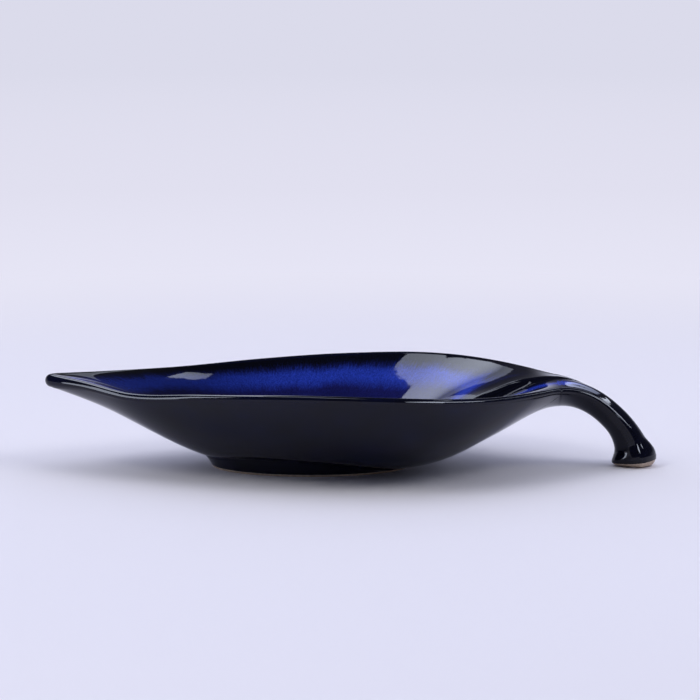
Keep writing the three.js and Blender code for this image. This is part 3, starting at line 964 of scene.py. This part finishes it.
# Floor: near the platter it takes light and shadow, and far away it is an even pale backdrop
FLOOR_REACH = 40
FLOOR_COLOUR = (0.80, 0.79, 0.90)
FLOOR_ROUGHNESS = 0.9
FLOOR_SPECULAR = 0.1
PALE = (0.79, 0.783, 0.913)
NEXT_PALE = (0.753, 0.745, 0.871)
FAR_PALE = (0.708, 0.708, 0.831)
BACKDROP_FROM, BACKDROP_FULL = 0.3, 0.9
BACKDROP_STOPS = [(BACKDROP_FULL, PALE), (1.8, NEXT_PALE), (6, FAR_PALE)]


def pale_rays(tree):
    """One for the rays that show the background: those from the camera and mirrored or clear ones."""
    path = node(tree, "ShaderNodeLightPath").outputs
    mirrored = maths(tree, "MAXIMUM", path["Is Glossy Ray"], path["Is Transmission Ray"])
    return maths(tree, "MAXIMUM", path["Is Camera Ray"], mirrored)


def floor_look():
    material, tree, shader = new_material("floor_look")
    shader.inputs["Base Color"].default_value = (*FLOOR_COLOUR, 1)
    shader.inputs["Roughness"].default_value = FLOOR_ROUGHNESS
    shader.inputs["Specular IOR Level"].default_value = FLOOR_SPECULAR
    length = node(tree, "ShaderNodeVectorMath", operation="LENGTH")
    tree.links.new(node(tree, "ShaderNodeNewGeometry").outputs["Position"], length.inputs[0])
    distance = length.outputs["Value"]
    far = smooth_rise(tree, distance, BACKDROP_FROM, BACKDROP_FULL)
    backdrop = node(tree, "ShaderNodeEmission")
    tree.links.new(ramp(tree, distance, BACKDROP_STOPS), backdrop.inputs["Color"])
    blend = node(tree, "ShaderNodeMixShader")
    tree.links.new(maths(tree, "MULTIPLY", far, pale_rays(tree)), blend.inputs["Fac"])
    tree.links.new(shader.outputs[0], blend.inputs[1])
    tree.links.new(backdrop.outputs[0], blend.inputs[2])
    tree.links.new(blend.outputs[0], tree.nodes["Material Output"].inputs["Surface"])
    return material


def sheet(name, corners, material):
    """A flat sheet of the studio."""
    mesh = bpy.data.meshes.new(name)
    mesh.from_pydata(corners, [], [tuple(range(len(corners)))])
    mesh.materials.append(material)
    made = bpy.data.objects.new(name, mesh)
    bpy.context.scene.collection.objects.link(made)
    return made


floor_signs = ((-1, -1), (1, -1), (1, 1), (-1, 1))
floor = sheet("floor", [(x * FLOOR_REACH, y * FLOOR_REACH, 0) for x, y in floor_signs], floor_look())

# World: pale behind the platter and dim in front of it, and in reflections pale only low down
DIM = (0.05, 0.05, 0.06)
ROOM_GLOW = (0.68, 0.7, 0.88)
SOFT_LIGHT = (0.93, 0.97, 1.17)
ROOM_BEHIND = (0, 0.6)
ROOM_LOW = (0.3, 0.04)
SOFT_BEHIND = (-0.5, 0.2)


def mixed(tree, factor, first, second):
    """A colour between two, each given as a socket or as four numbers."""
    made = node(tree, "ShaderNodeMix", data_type="RGBA")
    colours = [socket for socket in made.inputs if socket.type == "RGBA"]
    tree.links.new(factor, made.inputs["Factor"])
    fill_socket(tree, colours[0], first)
    fill_socket(tree, colours[1], second)
    return next(socket for socket in made.outputs if socket.type == "RGBA")


def studio_world():
    world = bpy.data.worlds.new("studio")
    bpy.context.scene.world = world
    world.use_nodes = True
    tree = world.node_tree
    path = node(tree, "ShaderNodeLightPath").outputs
    direction = parts_of(tree, node(tree, "ShaderNodeTexCoord").outputs["Generated"])
    behind = smooth_rise(tree, direction["Y"], *ROOM_BEHIND)
    low = smooth_rise(tree, direction["Z"], *ROOM_LOW)
    room = ramp(tree, maths(tree, "MULTIPLY", behind, low), [(0, DIM), (1, ROOM_GLOW)])
    soft = ramp(tree, smooth_rise(tree, direction["Y"], *SOFT_BEHIND), [(0, DIM), (1, SOFT_LIGHT)])
    lit = mixed(tree, path["Is Glossy Ray"], soft, room)
    seen = mixed(tree, path["Is Camera Ray"], lit, (*FAR_PALE, 1))
    tree.links.new(seen, tree.nodes["Background"].inputs["Color"])


studio_world()

# Cards: seen only in reflections, and placed by following the photo's highlights back from the camera
CARD_WHITE = (0.77, 0.83, 1)
CARD_BLUE = (0.62, 0.69, 1)
CARD_HEIGHT = 1.0
LEFT_CARD_AT = -0.9
DIMS_FROM, DIMS_TO = 0.45, 1.9
ARCHED_STRIP = [
    (-0.08, -0.3), (-0.15, -0.17), (-0.3, 0.06), (-0.4, 0.3), (-0.33, 0.62), (-0.15, 1.3),
    (0.02, 2.4), (-0.72, 2.4), (-0.7, 1.4), (-0.52, 0.45), (-0.42, 0), (-0.27, -0.3),
]
ARCHED_STRIP_GLOW, ARCHED_STRIP_FAR_GLOW = 7.4, 0.7
SMALL_CARD = [(0.28, 0.68), (0.32, 0.47), (0.51, 0.14), (0.51, 0.31), (0.45, 0.48)]
SMALL_CARD_GLOW = 5
STEM_CARD = [
    (0.42, 3.3), (0.62, 2.6), (0.78, 2), (0.95, 1.5),
    (1.08, 1.5), (1.08, 1.8), (0.95, 2.3), (0.7, 3.3),
]
STEM_CARD_GLOW = 2.2
RIGHT_CARD = [
    (1.2, -0.4), (1.45, -0.4), (1.36, 0.4), (1.34, 1.15),
    (1.25, 1.6), (1.19, 1.55), (1.25, 1.1), (1.24, 0.4),
]
RIGHT_CARD_GLOW = 6.8
LEFT_CARD = [
    (-0.46, 0), (-0.26, 0), (-0.24, 0.62), (-0.17, 0.8), (-0.14, 0.95), (-0.46, 0.95),
]
LEFT_CARD_GLOW = 11
FRONT_CARD = [
    (0.12, -0.84, 0.34), (0.47, -0.49, 0.2), (0.5, -0.46, 0.36), (0.82, -0.14, 0.36),
    (0.82, -0.14, 0.46), (0.47, -0.49, 0.64), (0.12, -0.84, 0.45),
]
FRONT_CARD_GLOW = 19


def card(name, corners, glow, far_glow=None, colour=CARD_WHITE):
    """A glowing card, seen only in reflections. With a far glow it dims along Y."""
    material = bpy.data.materials.new(name + "_look")
    material.use_nodes = True
    tree = material.node_tree
    emission = node(tree, "ShaderNodeEmission")
    emission.inputs["Color"].default_value = (*colour, 1)
    emission.inputs["Strength"].default_value = glow
    if far_glow is not None:
        along = parts_of(tree, node(tree, "ShaderNodeNewGeometry").outputs["Position"])["Y"]
        fall = mapped(tree, along, DIMS_FROM, DIMS_TO, glow, far_glow)
        tree.links.new(fall, emission.inputs["Strength"])
    tree.links.new(emission.outputs[0], tree.nodes["Material Output"].inputs["Surface"])
    made = sheet(name, corners, material)
    made.visible_camera = False
    made.visible_diffuse = False


def overhead(outline):
    return [(x, y, CARD_HEIGHT) for x, y in outline]


card("arched_strip", overhead(ARCHED_STRIP), ARCHED_STRIP_GLOW, ARCHED_STRIP_FAR_GLOW)
card("small_card", overhead(SMALL_CARD), SMALL_CARD_GLOW)
card("stem_card", overhead(STEM_CARD), STEM_CARD_GLOW, colour=CARD_BLUE)
card("left_card", [(LEFT_CARD_AT, y, z) for y, z in LEFT_CARD], LEFT_CARD_GLOW)
card("front_card", FRONT_CARD, FRONT_CARD_GLOW)
card("right_card", overhead(RIGHT_CARD), RIGHT_CARD_GLOW)

# Lamps: an even fill from above and a softbox on either side, powers in watts
FILL_SIZE = (3.8, 3.2)
FILL_PLACE = (-0.4, 0, 2.2)
FILL_POWER = 9
FILL_COLOUR = (1, 0.965, 0.7)
KEY_SIZE = (0.9, 0.9)
KEY_COLOUR = (1, 0.985, 0.92)
LEFT_KEY_PLACE = (-1.4, -0.55, 1.5)
LEFT_KEY_POWER = 12
RIGHT_KEY_PLACE = (1.4, -0.6, 1.4)
RIGHT_KEY_POWER = 11


def lamp(name, size, place, power, colour):
    """An area lamp that leaves no reflection of its own. It faces down until it is turned."""
    data = bpy.data.lights.new(name, "AREA")
    data.shape = "RECTANGLE"
    data.size, data.size_y = size
    data.energy = power
    data.color = colour
    made = bpy.data.objects.new(name, data)
    made.location = place
    made.visible_glossy = False
    made.visible_camera = False
    bpy.context.scene.collection.objects.link(made)
    return made


def key_lamp(name, place, power):
    """A softbox aimed at the platter."""
    made = lamp(name, KEY_SIZE, place, power, KEY_COLOUR)
    made.rotation_euler = Vector(place).to_track_quat("Z", "Y").to_euler()


lamp("fill", FILL_SIZE, FILL_PLACE, FILL_POWER, FILL_COLOUR)
key_lamp("left_key", LEFT_KEY_PLACE, LEFT_KEY_POWER)
key_lamp("right_key", RIGHT_KEY_PLACE, RIGHT_KEY_POWER)

# Camera at the photo's angle, with its sensor and lens in millimetres and its pitch in degrees
SENSOR_WIDTH = 36
LENS = 132.7
CAMERA_DISTANCE = 1.3
CAMERA_PITCH = 8
CAMERA_TARGET = (-0.00063, 0, 0.059)


def photo_camera():
    data = bpy.data.cameras.new("camera")
    data.sensor_width = SENSOR_WIDTH
    data.lens = LENS
    camera = bpy.data.objects.new("camera", data)
    bpy.context.scene.collection.objects.link(camera)
    pitch = math.radians(CAMERA_PITCH)
    target = Vector(CAMERA_TARGET)
    camera.location = target + CAMERA_DISTANCE * Vector((0, -math.cos(pitch), math.sin(pitch)))
    camera.rotation_euler = (target - camera.location).to_track_quat("-Z", "Y").to_euler()
    bpy.context.scene.camera = camera


photo_camera()
bpy.context.scene.view_settings.view_transform = "Standard"

bpy.context.view_layer.update()
